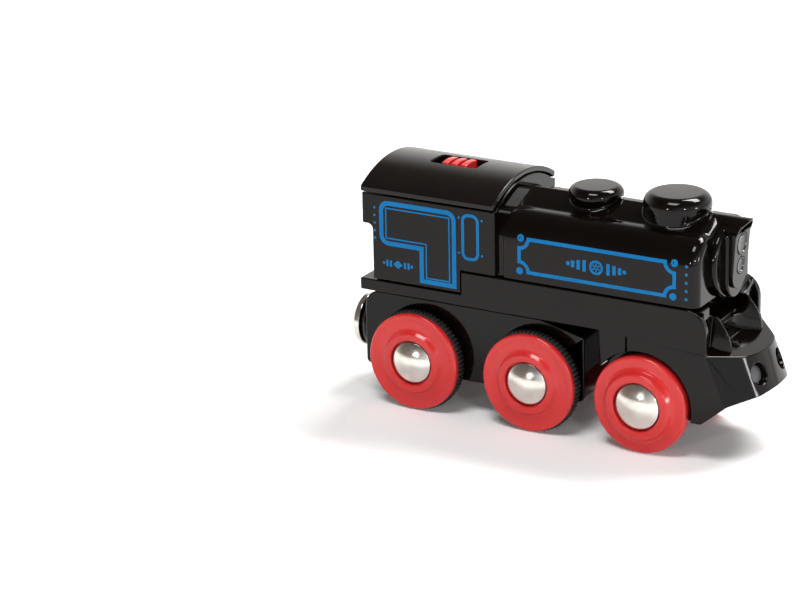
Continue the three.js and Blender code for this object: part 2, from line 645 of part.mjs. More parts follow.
function wheelSet(name, x, z, makeWheel, capRadius, driven) {
  const set = new THREE.Group();
  set.position.set(x, 0, z);
  model.add(set);
  place(`${name}_axle`, rod(AXLE_R, -14.6, 14.6, 20), "steel", set);
  if (driven) place(`${name}_axle_gear`, axleGear(), "nylon", set);
  for (const [side, turn] of [["left", 0], ["right", Math.PI]]) {
    const half = new THREE.Group();
    half.rotation.z = turn;
    set.add(half);
    place(`${name}_wheel_${side}`, makeWheel(), "red", half);
    place(`${name}_hub_cap_${side}`, hubCap(capRadius), "steel", half);
    if (driven) {
      const tyre = ring(HUB_R + GAP, TYRE_R, TYRE_BACK, WHEEL_FACE - RIM - GAP);
      place(`${name}_tyre_${side}`, tyre, "rubber", half);
    }
  }
}

bodyPieces();
electricPieces();
truckPieces();
rotorPieces();
wheelSet("rear", REAR_AXLE, TYRE_R, drivenWheel, CAP_R, true);
wheelSet("middle", MIDDLE_AXLE, TYRE_R, drivenWheel, CAP_R, true);
wheelSet("front", FRONT_AXLE, WHEEL_R, trailingWheel, FRONT_CAP_R, false);

export default locomotive;
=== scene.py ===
import json
import math

import bmesh
import bpy
from mathutils import Matrix, Vector


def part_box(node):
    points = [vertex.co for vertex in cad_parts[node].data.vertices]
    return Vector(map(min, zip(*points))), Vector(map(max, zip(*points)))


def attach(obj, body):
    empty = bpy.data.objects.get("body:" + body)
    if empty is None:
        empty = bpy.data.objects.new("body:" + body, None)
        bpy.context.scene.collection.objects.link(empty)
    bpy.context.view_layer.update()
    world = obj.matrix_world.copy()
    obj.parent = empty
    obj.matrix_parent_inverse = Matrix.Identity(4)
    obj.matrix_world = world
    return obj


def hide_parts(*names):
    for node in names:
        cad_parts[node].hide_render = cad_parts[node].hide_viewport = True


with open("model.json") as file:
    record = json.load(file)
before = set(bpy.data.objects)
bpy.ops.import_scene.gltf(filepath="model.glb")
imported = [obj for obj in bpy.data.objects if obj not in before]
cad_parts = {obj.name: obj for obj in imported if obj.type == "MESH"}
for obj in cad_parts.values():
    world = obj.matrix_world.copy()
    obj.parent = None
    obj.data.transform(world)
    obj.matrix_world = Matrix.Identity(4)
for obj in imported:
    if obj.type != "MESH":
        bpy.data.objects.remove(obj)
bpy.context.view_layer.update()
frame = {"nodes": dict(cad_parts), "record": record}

# Shapes are made in millimetres along the locomotive's own axes, with X counted from the middle
# axle, and brought into the row frame, in metres, when each piece is finished.
MM = 0.001


def middle(node):
    low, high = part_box(node)
    return (low + high) / 2


ORIGIN_X = middle("middle_axle").x
TO_ROW = Matrix.Translation((ORIGIN_X, 0, 0)) @ Matrix.Scale(MM, 4)


def spans(node):
    """((x0, x1), (y0, y1), (z0, z1)) of a CAD node in millimetres, X from the middle axle."""
    low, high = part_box(node)
    return (
        ((low.x - ORIGIN_X) / MM, (high.x - ORIGIN_X) / MM),
        (low.y / MM, high.y / MM),
        (low.z / MM, high.z / MM),
    )


# ---------- camera
CAMERA_PLACE = (0.31685, -0.61188, 0.27245)
CAMERA_AZIMUTH, CAMERA_ELEVATION, CAMERA_ROLL = 30.56, 19.53, -1.18
CAMERA_LENS = 141.26


def add_camera():
    azimuth, elevation, roll = (math.radians(v) for v in (CAMERA_AZIMUTH, CAMERA_ELEVATION, CAMERA_ROLL))
    back = Vector((
        math.sin(azimuth) * math.cos(elevation),
        -math.cos(azimuth) * math.cos(elevation),
        math.sin(elevation),
    ))
    level = Vector((math.cos(azimuth), math.sin(azimuth), 0))
    upright = level.cross(-back)
    right = math.cos(roll) * level + math.sin(roll) * upright
    up = math.cos(roll) * upright - math.sin(roll) * level
    data = bpy.data.cameras.new("camera")
    data.lens = CAMERA_LENS
    data.sensor_width = 36
    data.clip_start = 0.01
    camera = bpy.data.objects.new("camera", data)
    bpy.context.scene.collection.objects.link(camera)
    camera.matrix_world = Matrix((
        (right.x, up.x, back.x, CAMERA_PLACE[0]),
        (right.y, up.y, back.y, CAMERA_PLACE[1]),
        (right.z, up.z, back.z, CAMERA_PLACE[2]),
        (0, 0, 0, 1),
    ))
    bpy.context.scene.camera = camera


add_camera()


# ---------- outlines
def arc(u, v, radius, start, stop, steps):
    """Points on a circular arc; angles in degrees."""
    points = []
    for i in range(steps + 1):
        angle = math.radians(start + (stop - start) * i / steps)
        points.append((u + radius * math.cos(angle), v + radius * math.sin(angle)))
    return points


def rounded(corners, steps=6, closed=True):
    """An outline whose corners (u, v, radius) are replaced by arcs; a corner (u, v) stays sharp."""
    points = []
    count = len(corners)
    for i, corner in enumerate(corners):
        radius = corner[2] if len(corner) > 2 else 0
        here = Vector(corner[:2])
        if radius <= 0 or (not closed and i in (0, count - 1)):
            points.append(tuple(here))
            continue
        to_last = Vector(corners[i - 1][:2]) - here
        to_next = Vector(corners[(i + 1) % count][:2]) - here
        a, b = to_last.normalized(), to_next.normalized()
        half = a.angle(b) / 2
        reach = min(radius / math.tan(half), 0.499 * to_last.length, 0.499 * to_next.length)
        radius = reach * math.tan(half)
        centre = here + (a + b).normalized() * radius / math.sin(half)
        first, last = here + a * reach - centre, here + b * reach - centre
        start = math.atan2(first.y, first.x)
        turn = math.atan2(first.x * last.y - first.y * last.x, first.dot(last))
        for k in range(steps + 1):
            angle = start + turn * k / steps
            points.append((centre.x + radius * math.cos(angle), centre.y + radius * math.sin(angle)))
    return points


def rounded_box(u, v, radius, steps=6):
    """A rectangle over two ranges, with round corners."""
    corners = [(u[0], v[0], radius), (u[1], v[0], radius), (u[1], v[1], radius), (u[0], v[1], radius)]
    return rounded(corners, steps)


def mirrored(points):
    """A half outline at positive u, from bottom to top, closed with its mirror image."""
    return points + [(-u, v) for u, v in reversed(points) if abs(u) > 1e-6]


def between(table, place):
    """Value at a place along a table of (place, value) rows."""
    for (a, low), (b, high) in zip(table, table[1:]):
        if place <= b:
            return low + (high - low) * max(0, place - a) / (b - a)
    return table[-1][1]


# ---------- solids
def shape(verts, faces):
    mesh = bpy.data.meshes.new("shape")
    mesh.from_pydata([tuple(v) for v in verts], [], faces)
    bm = bmesh.new()
    bm.from_mesh(mesh)
    bmesh.ops.remove_doubles(bm, verts=bm.verts, dist=1e-5)
    bmesh.ops.recalc_face_normals(bm, faces=bm.faces)
    bm.to_mesh(mesh)
    bm.free()
    obj = bpy.data.objects.new("shape", mesh)
    bpy.context.scene.collection.objects.link(obj)
    return obj


PLACE = {
    "x": lambda u, v, w: (w, u, v),
    "y": lambda u, v, w: (u, w, v),
    "z": lambda u, v, w: (u, v, w),
}


def prism(outline, axis, low, high):
    """An outline run along an axis: (y, z) along x, (x, z) along y, (x, y) along z."""
    count = len(outline)
    verts = [PLACE[axis](u, v, w) for w in (low, high) for u, v in outline]
    faces = [list(range(count)), list(range(count, 2 * count))]
    faces += [(i, (i + 1) % count, count + (i + 1) % count, count + i) for i in range(count)]
    return shape(verts, faces)


def box(x, y, z):
    return prism([(x[0], y[0]), (x[1], y[0]), (x[1], y[1]), (x[0], y[1])], "z", *z)


def loft(rings, closed=True, caps=True):
    """Quads between rings of equally many points, each ring a list of (x, y, z)."""
    count = len(rings[0])
    verts = [p for ring in rings for p in ring]
    faces = []
    for k in range(len(rings) - 1):
        for i in range(count if closed else count - 1):
            j = (i + 1) % count
            faces.append((k * count + i, k * count + j, (k + 1) * count + j, (k + 1) * count + i))
    if caps:
        faces.append(list(range(count)))
        faces.append(list(range((len(rings) - 1) * count, len(rings) * count)))
    return shape(verts, faces)


def revolve(profile, axis, centre, segments=96, start=0):
    """A solid of revolution from (radius, height) points along an axis through centre."""
    verts, faces, rows = [], [], []
    for radius, height in profile:
        if radius < 1e-6:
            rows.append([len(verts)] * segments)
            verts.append((0, 0, height))
            continue
        rows.append(list(range(len(verts), len(verts) + segments)))
        for i in range(segments):
            angle = 2 * math.pi * i / segments + start
            verts.append((radius * math.cos(angle), radius * math.sin(angle), height))
    for k, row in enumerate(rows):
        following = rows[(k + 1) % len(rows)]
        for i in range(segments):
            j = (i + 1) % segments
            face = []
            for index in (row[i], row[j], following[j], following[i]):
                if index not in face:
                    face.append(index)
            if len(face) > 2:
                faces.append(face)
    turn = {
        "x": lambda p: (p[2], p[0], p[1]),
        "y": lambda p: (p[0], p[2], p[1]),
        "z": lambda p: p,
    }[axis]
    return shape([Vector(turn(v)) + Vector(centre) for v in verts], faces)


def rod(radius, low, high, axis, centre, segments):
    return revolve([(0, low), (radius, low), (radius, high), (0, high)], axis, centre, segments)


def settle(obj):
    """Applies an object's modifiers to its mesh."""
    bpy.context.view_layer.update()
    graph = bpy.context.evaluated_depsgraph_get()
    mesh = bpy.data.meshes.new_from_object(obj.evaluated_get(graph))
    obj.modifiers.clear()
    obj.data = mesh
    return obj


def combine(obj, tools, operation):
    for tool in tools:
        modifier = obj.modifiers.new("boolean", "BOOLEAN")
        modifier.object = tool
        modifier.operation = operation
        modifier.solver = "EXACT"
    settle(obj)
    for tool in tools:
        bpy.data.objects.remove(tool)
    return obj


def cut(obj, *tools):
    return combine(obj, tools, "DIFFERENCE")


def weld(obj, *tools):
    return combine(obj, tools, "UNION")


def merge(obj, *others):
    """Puts separate solids into one mesh without cutting them."""
    bm = bmesh.new()
    bm.from_mesh(obj.data)
    for other in others:
        bm.from_mesh(other.data)
        bpy.data.objects.remove(other)
    bm.to_mesh(obj.data)
    bm.free()
    return obj


def soften(obj, width, segments=3, angle=32):
    """Rounds every edge sharper than an angle."""
    bm = bmesh.new()
    bm.from_mesh(obj.data)
    bmesh.ops.remove_doubles(bm, verts=bm.verts, dist=0.004)
    bmesh.ops.dissolve_degenerate(bm, edges=bm.edges, dist=0.004)
    bmesh.ops.dissolve_limit(bm, angle_limit=math.radians(0.5), verts=bm.verts, edges=bm.edges)
    bm.to_mesh(obj.data)
    bm.free()
    modifier = obj.modifiers.new("bevel", "BEVEL")
    modifier.width = width
    modifier.segments = segments
    modifier.limit_method = "ANGLE"
    modifier.angle_limit = math.radians(angle)
    modifier.use_clamp_overlap = False
    modifier.miter_outer = "MITER_ARC"
    return settle(obj)


def piece(obj, name, body, slot, material, *nodes, sharp=40):
    """Finishes a solid as a named, shaded piece that rides on a CAD body."""
    mesh = obj.data
    mesh.transform(TO_ROW)
    mesh.name = name
    obj.name = name
    mesh.shade_smooth()
    mesh.set_sharp_from_angle(angle=math.radians(sharp))
    modifier = obj.modifiers.new("normals", "WEIGHTED_NORMAL")
    modifier.keep_sharp = True
    mesh.materials.clear()
    mesh.materials.append(material)
    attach(obj, body)
    if nodes:
        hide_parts(*nodes)


# ---------- materials
def begin(name):
    material = bpy.data.materials.new(name)
    material.use_nodes = True
    tree = material.node_tree
    place = tree.nodes.new("ShaderNodeTexCoord").outputs["Object"]
    return material, tree, tree.nodes["Principled BSDF"], place


def noise(tree, place, grain, detail=3.0, roughness=0.5):
    """Noise with features of about `grain` millimetres."""
    node = tree.nodes.new("ShaderNodeTexNoise")
    node.inputs["Scale"].default_value = 1 / (grain * MM)
    node.inputs["Detail"].default_value = detail
    node.inputs["Roughness"].default_value = roughness
    tree.links.new(place, node.inputs["Vector"])
    return node.outputs["Fac"]


def ramp(tree, value, stops):
    """Colour for a value, from (position, colour) stops."""
    node = tree.nodes.new("ShaderNodeValToRGB")
    elements = node.color_ramp.elements
    elements.remove(elements[1])
    elements[0].position = stops[0][0]
    elements[0].color = (*stops[0][1], 1)
    for position, colour in stops[1:]:
        elements.new(position).color = (*colour, 1)
    tree.links.new(value, node.inputs["Fac"])
    return node.outputs["Color"]


def spread(tree, value, low, high, start=0.3, stop=0.7):
    """Brings a value between start and stop to one between low and high."""
    node = tree.nodes.new("ShaderNodeMapRange")
    node.inputs["From Min"].default_value = start
    node.inputs["From Max"].default_value = stop
    node.inputs["To Min"].default_value = low
    node.inputs["To Max"].default_value = high
    tree.links.new(value, node.inputs["Value"])
    return node.outputs["Result"]


def relief(tree, shader, height, depth, strength=0.5):
    """Bump of about `depth` millimetres."""
    node = tree.nodes.new("ShaderNodeBump")
    node.inputs["Strength"].default_value = strength
    node.inputs["Distance"].default_value = depth * MM
    tree.links.new(height, node.inputs["Height"])
    tree.links.new(node.outputs["Normal"], shader.inputs["Normal"])


def add_values(tree, first, second, share):
    """first + share x second."""
    node = tree.nodes.new("ShaderNodeMath")
    node.operation = "MULTIPLY_ADD"
    node.inputs[1].default_value = share
    tree.links.new(second, node.inputs[0])
    tree.links.new(first, node.inputs[2])
    return node.outputs["Value"]


def moulded(name, dark, light, smooth, dull, specular=0.5, ripple=0.004, grain=0.35):
    """Moulded plastic: faint colour drift, handling marks in the gloss and a slightly rippled skin."""
    material, tree, shader, place = begin(name)
    drift = ramp(tree, noise(tree, place, 9, 4), [(0.3, dark), (0.7, light)])
    tree.links.new(drift, shader.inputs["Base Color"])
    marks = add_values(tree, noise(tree, place, 14, 6, 0.65), noise(tree, place, 0.8, 2), 0.25)
    tree.links.new(spread(tree, marks, smooth, dull, 0.4, 0.9), shader.inputs["Roughness"])
    shader.inputs["Specular IOR Level"].default_value = specular
    skin = add_values(tree, noise(tree, place, 5, 1), noise(tree, place, grain, 2), 0.06)
    relief(tree, shader, skin, ripple * 6, 0.2)
    return material


def metal(name, dark, light, smooth, dull):
    """Polished metal: faint colour drift, fine scratches in the gloss and a very slight grain."""
    grain = 0.25
    material, tree, shader, place = begin(name)
    drift = ramp(tree, noise(tree, place, 3, 5), [(0.3, dark), (0.7, light)])
    tree.links.new(drift, shader.inputs["Base Color"])
    shader.inputs["Metallic"].default_value = 1.0
    marks = add_values(tree, noise(tree, place, 2.2, 5, 0.6), noise(tree, place, grain, 3), 0.5)
    tree.links.new(spread(tree, marks, smooth, dull, 0.5, 1.0), shader.inputs["Roughness"])
    relief(tree, shader, noise(tree, place, grain, 4, 0.6), 0.0015, 0.5)
    return material


def rubber(name):
    """Black rubber with a powdery skin."""
    material, tree, shader, place = begin(name)
    dark, light = (0.006, 0.006, 0.006), (0.022, 0.021, 0.020)
    drift = ramp(tree, noise(tree, place, 1.1, 5, 0.6), [(0.3, dark), (0.75, light)])
    tree.links.new(drift, shader.inputs["Base Color"])
    tree.links.new(spread(tree, noise(tree, place, 1.8, 4), 0.5, 0.8), shader.inputs["Roughness"])
    shader.inputs["Specular IOR Level"].default_value = 0.4
    relief(tree, shader, noise(tree, place, 0.12, 3), 0.02, 0.5)
    return material


def board(name):
    """Solder-masked laminate: copper tracks show as paler lines."""
    material, tree, shader, place = begin(name)
    tracks = tree.nodes.new("ShaderNodeTexBrick")
    tracks.inputs["Scale"].default_value = 1 / (3.0 * MM)
    tracks.inputs["Color1"].default_value = (0.010, 0.080, 0.030, 1)
    tracks.inputs["Color2"].default_value = (0.014, 0.100, 0.038, 1)
    tracks.inputs["Mortar"].default_value = (0.030, 0.180, 0.070, 1)
    tracks.inputs["Mortar Size"].default_value = 0.03
    tree.links.new(place, tracks.inputs["Vector"])
    tree.links.new(tracks.outputs["Color"], shader.inputs["Base Color"])
    tree.links.new(spread(tree, noise(tree, place, 2, 3), 0.3, 0.5), shader.inputs["Roughness"])
    relief(tree, shader, tracks.outputs["Fac"], 0.03, 0.4)
    return material


BLACK = moulded("black_gloss", (0.0018, 0.0010, 0.0007), (0.0026, 0.0016, 0.0012), 0.07, 0.12, 0.22)
SATIN = moulded("black_satin", (0.0034, 0.0022, 0.0018), (0.0046, 0.0030, 0.0024), 0.14, 0.20, 0.30)
MATT = moulded("black_matt", (0.012, 0.012, 0.012), (0.022, 0.021, 0.020), 0.45, 0.62, ripple=0.008)
RED = moulded("red", (0.47, 0.018, 0.018), (0.51, 0.022, 0.021), 0.16, 0.22, 0.4, ripple=0.002)
BLUE = moulded("blue_print", (0.001, 0.118, 0.310), (0.002, 0.138, 0.350), 0.30, 0.42, 0.12, grain=0.2)
GREY = moulded("lamp_grey", (0.028, 0.026, 0.024), (0.040, 0.037, 0.034), 0.10, 0.22)
STUD = moulded("stud_grey", (0.050, 0.050, 0.056), (0.080, 0.080, 0.088), 0.30, 0.45, grain=0.15)
NYLON = moulded("nylon", (0.68, 0.65, 0.56), (0.78, 0.75, 0.66), 0.35, 0.5)
SLEEVE = moulded("battery_sleeve", (0.020, 0.075, 0.30), (0.035, 0.10, 0.36), 0.25, 0.4)
STEEL = metal("steel", (0.60, 0.57, 0.52), (0.74, 0.71, 0.66), 0.10, 0.26)
BRASS = metal("brass", (0.50, 0.33, 0.12), (0.66, 0.47, 0.20), 0.22, 0.38)
TYRE = rubber("tyre")
BOARD = board("board")

SLOT_MATERIALS = {
    "black_gloss": BLACK,
    "black_matt": MATT,
    "red": RED,
    "tyre": TYRE,
    "steel": STEEL,
    "lamp_grey": GREY,
    "board": BOARD,
    "battery_sleeve": SLEEVE,
    "brass": BRASS,
    "nylon": NYLON,
}
for part in frame["record"]["subparts"]:
    node = frame["nodes"][part["node"]]
    node.data.materials.clear()
    node.data.materials.append(SLOT_MATERIALS[part["material_slot"]])

# ---------- sizes shared by several pieces
SIDES = (("left", 1), ("right", -1))
(ROOF_REAR, ROOF_FRONT), (_, ROOF_SIDE), (EAVE_Z, ROOF_TOP_Z) = spans("cab_roof")
(CAB_REAR, BOILER_FRONT), (_, SIDE), _ = spans("upper_shell")
(DECK_REAR, _), _, (SKIRT_Z, BELT_Z) = spans("chassis_frame")
AXLE_R = 1.5
REAR_AXLE = spans("rear_axle")[0][0] + AXLE_R
FRONT_AXLE = spans("front_axle")[0][0] + AXLE_R
TYRE_R = middle("rear_axle").z / MM
WHEEL_R = middle("front_axle").z / MM
(TRUCK_REAR, TRUCK_FRONT), (_, TRUCK_SIDE), (_, TRUCK_TOP) = spans("truck_housing")
CAP_TIP = spans("rear_hub_cap_left")[1][1]
SLOT_X = middle("switch_slider").x / MM - ORIGIN_X / MM

# Sizes that no node's box gives.
SEAM = 0.3  # gap between two mouldings
WALL = 1.6  # thickness of the frame's and the truck's walls
TRUCK_BOTTOM = 7.8
CAB_WALL, CAB_FRONT = -41.2, -8.7  # outer faces of the cab's rear and front walls
CAB_TOP_Z = 51.8  # top of the cab's side walls, under the roof
EAVE_TOP_Z = 53.4  # where the roof's flat sides end
DECK_Z, STEP_X = 30.6, -17.6  # footplate behind the cab's door, and where it steps up to the belt
BOILER_SIDE = 14.6
SMOKEBOX_Z = 44.0
CHARGE_LIGHT_Z = 40.6


def arch(half, bottom, eave, top, steps=48):
    """End view with flat sides up to the eave and one circular arc over the top."""
    sag = top - eave
    radius = (half * half + sag * sag) / (2 * sag)
    lean = math.degrees(math.asin(half / radius))
    crown = arc(0, top - radius, radius, 90 - lean, 90 + lean, steps)
    return [(half, bottom)] + crown + [(-half, bottom)]


# ---------- cab
def cab_shell():
    """Cab walls with the switch's well in the top and the inlet's mouth in the rear."""
    ledge_z = 44.3
    side = rounded([
        (CAB_REAR, CAB_TOP_Z), (CAB_REAR, ledge_z, 0.4), (CAB_WALL, ledge_z, 1.9), (CAB_WALL, DECK_Z + SEAM),
        (STEP_X - SEAM, DECK_Z + SEAM), (STEP_X - SEAM, BELT_Z + SEAM), (CAB_FRONT, BELT_Z + SEAM),
        (CAB_FRONT, CAB_TOP_Z),
    ])
    body = prism(side, "y", -SIDE, SIDE)
    gable = prism(arch(13.6, 50.5, 52.2, 56.2), "x", CAB_REAR, CAB_FRONT)
    well = box((SLOT_X - 7.2, SLOT_X + 7.2), (-4.4, 4.4), (46.5, 60))
    mouth = prism(rounded_box((-4.3, 4.3), (34.6, 38.9), 0.8), "x", CAB_WALL - 1, CAB_WALL + 7)
    light = rod(1.3, CAB_WALL - 1, CAB_WALL + 5, "x", (0, 0, CHARGE_LIGHT_Z), 32)
    weld(body, gable)
    cut(body, well, mouth, light)
    soften(body, 0.3)
    piece(body, "cab_shell", "frame", "black_gloss", BLACK, "upper_shell")


def roof():
    """Curved roof panel with the switch's slot."""
    sheet, half_length, half_width = 1.2, 6.1, 3.2
    outer = arch(ROOF_SIDE, EAVE_Z, EAVE_TOP_Z, ROOF_TOP_Z, 64)
    inner = arch(ROOF_SIDE - sheet, EAVE_Z - 1, EAVE_TOP_Z - 0.8, ROOF_TOP_Z - sheet, 64)
    shell = prism(outer, "x", ROOF_REAR, ROOF_FRONT + 0.1)
    hollow = prism(inner, "x", ROOF_REAR - 1, ROOF_FRONT + 1)
    along = (SLOT_X - half_length, SLOT_X + half_length)
    slot = prism(rounded_box(along, (-half_width, half_width), 0.5, 4), "z", 50, 60)
    cut(shell, hollow, slot)
    soften(shell, 0.28)
    piece(shell, "roof_panel", "frame", "black_gloss", SATIN, "cab_roof")


def switch():
    """Ribbed thumb piece in its slot, over the switch's case."""
    half, foot_z = 2.75, 55.3
    crown = [(half, 57.2), (2.6, 57.6, 0.3), (0, 57.95, 9), (-2.6, 57.6, 0.3), (-half, 57.2)]
    section = [(half, foot_z)] + rounded(crown, 5, False) + [(-half, foot_z)]

    def rib(x):
        return soften(prism(section, "x", x - 0.78, x + 0.78), 0.24, 3, 40)

    thumb = box((SLOT_X - 3.3, SLOT_X + 3.3), (-2.7, 2.7), (54.2, 56.4))
    soften(thumb, 0.2)
    stem = box((SLOT_X - 1.5, SLOT_X + 1.5), (-1.5, 1.5), (48.6, 54.5))
    merge(thumb, stem, *[rib(SLOT_X + step) for step in (-2.45, 0, 2.45)])
    piece(thumb, "switch_thumb", "switch", "red", RED, "switch_slider")
    case = box((SLOT_X - 8, SLOT_X + 8), (-5, 5), (46.5, 51.2))
    room = box((SLOT_X - 4.6, SLOT_X + 4.6), (-1.9, 1.9), (48, 52))
    legs = [box((SLOT_X + x - 1, SLOT_X + x + 1), (-4, 4), (35.1, 47)) for x in (-7, 7)]
    cut(case, room)
    soften(case, 0.25)
    ridges = []
    for x in (-5.6, -4.9, 4.9, 5.6):
        ridges.append(soften(box((SLOT_X + x - 0.2, SLOT_X + x + 0.2), (-2.8, 2.8), (51.0, 51.9)), 0.1))
    merge(case, *legs, *ridges)
    piece(case, "switch_case", "frame", "black_matt", MATT, "switch_housing")


# ---------- boiler
SHOULDER_R, SHOULDER_Z = 6.5, 45.2  # rounding between side and top, and the height where it starts
RIDGE_HALF, RIDGE_Z = 7.1, 54.45


def boiler_section(inset, bottom):
    """End view of the boiler, moved in by inset: flat side, round shoulder, low ridge along the top."""
    shoulder = arc(BOILER_SIDE - SHOULDER_R, SHOULDER_Z, SHOULDER_R - inset, 0, 90, 14)
    ledge = SHOULDER_Z + SHOULDER_R - inset
    lean = (RIDGE_Z - SHOULDER_Z - SHOULDER_R) / RIDGE_HALF
    foot = [
        (RIDGE_HALF + 0.55, ledge), (RIDGE_HALF + 0.2, ledge + 0.02), (RIDGE_HALF - 0.15, ledge + 0.09),
        (RIDGE_HALF - 0.5, ledge + 0.5 * lean),
    ]
    slope = []
    for y in (5, 3.5, 2.2, 1.2):
        crown = 0.12 * math.sin(math.pi * y / RIDGE_HALF)
        slope.append((y, ledge + (RIDGE_HALF - y) * lean + crown))
    crest = [(0.8, slope[-1][1] + 0.1), (0.4, RIDGE_Z - inset - 0.12), (0, RIDGE_Z - inset - 0.08)]
    return mirrored([(BOILER_SIDE - inset, bottom)] + shoulder + foot + slope + crest)


def boiler_width(z):
    """Half width of the boiler at a height."""
    if z <= SHOULDER_Z:
        return BOILER_SIDE
    rise = min(z - SHOULDER_Z, SHOULDER_R)
    return BOILER_SIDE - SHOULDER_R + math.sqrt(SHOULDER_R ** 2 - rise ** 2)


def boiler_top(y):
    """Height of the boiler's skin at a distance from the centre line."""
    points = [p for p in boiler_section(0, 30) if p[0] >= 0]
    y = min(abs(y), BOILER_SIDE - 0.01)
    for (u0, v0), (u1, v1) in zip(points[1:], points[2:]):
        if u1 <= y <= u0:
            return v0 + (v1 - v0) * (u0 - y) / (u0 - u1)
    return points[-1][1]


def boiler():
    """Boiler with a shallow groove next to the cab and a rounded front edge."""
    groove_end = CAB_FRONT + 1.8
    stations = [(CAB_FRONT - 2, 0.75), (groove_end, 0.75)]  # (x, inset)
    radius = 0.6
    for k in range(5):
        angle = math.radians(90 * k / 4)
        stations.append((groove_end + radius * (1 - math.cos(angle)), radius * (1 - math.sin(angle))))
    radius = 2.2
    for k in range(10):
        angle = math.radians(90 * k / 9)
        stations.append((BOILER_FRONT - radius * (1 - math.sin(angle)), radius * (1 - math.cos(angle))))
    bottom = BELT_Z + SEAM
    body = loft([[(x, y, z) for y, z in boiler_section(inset, bottom)] for x, inset in stations])
    piece(body, "boiler_shell", "frame", "black_gloss", BLACK, sharp=50)


def fitting(name, node, x, profile, base_radius, lip):
    """A turned fitting on the boiler's crown with a small fillet where it meets the skin."""
    segments = 72
    angles = [2 * math.pi * i / segments for i in range(segments)]

    def ring(radius, height):
        circle = [(radius * math.cos(a), radius * math.sin(a)) for a in angles]
        return [(x + u, y, height(y)) for u, y in circle]

    rings = [ring(base_radius + lip, lambda y: boiler_top(y) - 1.5)]
    for k in range(6):
        angle = math.radians(90 * k / 5)
        radius = base_radius + lip * (1 - math.sin(angle))
        rise = lip * (1 - math.cos(angle))
        rings.append(ring(radius, lambda y, rise=rise: boiler_top(y) - 0.03 + rise))
    for radius, z in profile:
        clear = 0.6 + (z - 50) * 0.004  # a ring never dips into the skin, nor into the ring below it
        rings.append(ring(radius, lambda y, z=z, clear=clear: max(z, boiler_top(y) + clear)))
    piece(loft(rings), name, "frame", "black_gloss", BLACK, node, sharp=50)


def boiler_fittings():
    wall = [(5.85, 52.9), (6.1, 53.7), (6.35, 54.5)]
    crown = arc(4.5, 54.95, 1.95, 0, 90, 12) + [(2.5, 56.93), (0.5, 56.95)]
    fitting("steam_dome_cap", "steam_dome", 9.7, wall + crown, 5.8, 0.55)
    wall = [(7.7, 53.4), (7.8, 54.4), (7.88, 55.2)]
    crown = arc(5.4, 55.7, 2.5, 0, 90, 12) + [(3.0, 58.23), (0.5, 58.25)]
    fitting("chimney_cap", "chimney", 30.2, wall + crown, 7.7, 0.6)


# ---------- smokebox, lamps and visor
def smokebox():
    """Raised disc with a round edge on the boiler's front."""
    x = BOILER_FRONT
    profile = rounded([(0, x), (8.8, x), (8.8, x + 1.7, 1.45), (6.0, x + 1.7), (0, x + 1.75)], 10, False)
    disc = revolve(profile, "x", (0, 0, SMOKEBOX_Z), 112)
    piece(disc, "smokebox_disc", "frame", "black_gloss", BLACK, "smokebox_door")


def stadium(half, foot, top, steps=28):
    """Flat top, round foot."""
    return [(half, top), (-half, top)] + arc(0, foot + half, half, 180, 360, steps)


LAMP_X, LAMP_LEAN = 46.35, 0.06
LAMPS = (("upper", 48.3, 2.75, 2.5), ("lower", 43.1, 2.15, 1.9))  # name, height, hole and lens radius
# How far the visor's lip stands forward, by height.
VISOR_LIP = ((50.3, -0.9), (51.2, -0.45), (52.6, 0.05), (53.4, 0.6), (54.1, 1.15), (54.4, 1.4))


def lamp_face(z):
    """X of the lamp bracket's face, which leans back towards its foot."""
    return LAMP_X + (z - 50.5) * LAMP_LEAN


def lamps():
    """Bracket in two steps with a hole for each lens, and the dished lenses."""
    back = prism(stadium(4.7, 35.3, 51.0), "x", BOILER_FRONT + 1.1, 44.9)
    soften(back, 0.6, 4)
    front = prism(stadium(4.05, 37.6, 51.2), "x", 44.2, LAMP_X)
    for vertex in front.data.vertices:
        if vertex.co.x > 45:  # the outer face
            vertex.co.x = lamp_face(vertex.co.z)
    for _, z, radius, _ in LAMPS:
        x = lamp_face(z)
        hole = revolve([(0, x - 0.5), (radius - 0.12, x - 0.5), (radius, 48), (0, 48)], "x", (0, 0, z), 48)
        cut(front, hole)
    soften(front, 0.2, 3)
    merge(back, front)
    piece(back, "lamp_bracket", "frame", "black_gloss", BLACK, "headlamp_housing")
    for name, z, _, radius in LAMPS:
        x = lamp_face(z) - 0.85
        profile = rounded([
            (0, x), (radius, x), (radius, x + 0.95, 0.12), (radius - 0.22, x + 0.95, 0.1),
            (radius - 0.42, x + 0.6, 0.1), (0, x + 0.35),
        ], 4, False)
        lens = revolve(profile, "x", (0, 0, z), 48)
        piece(lens, f"lamp_lens_{name}", "frame", "lamp_grey", GREY, f"headlamp_lens_{name}")


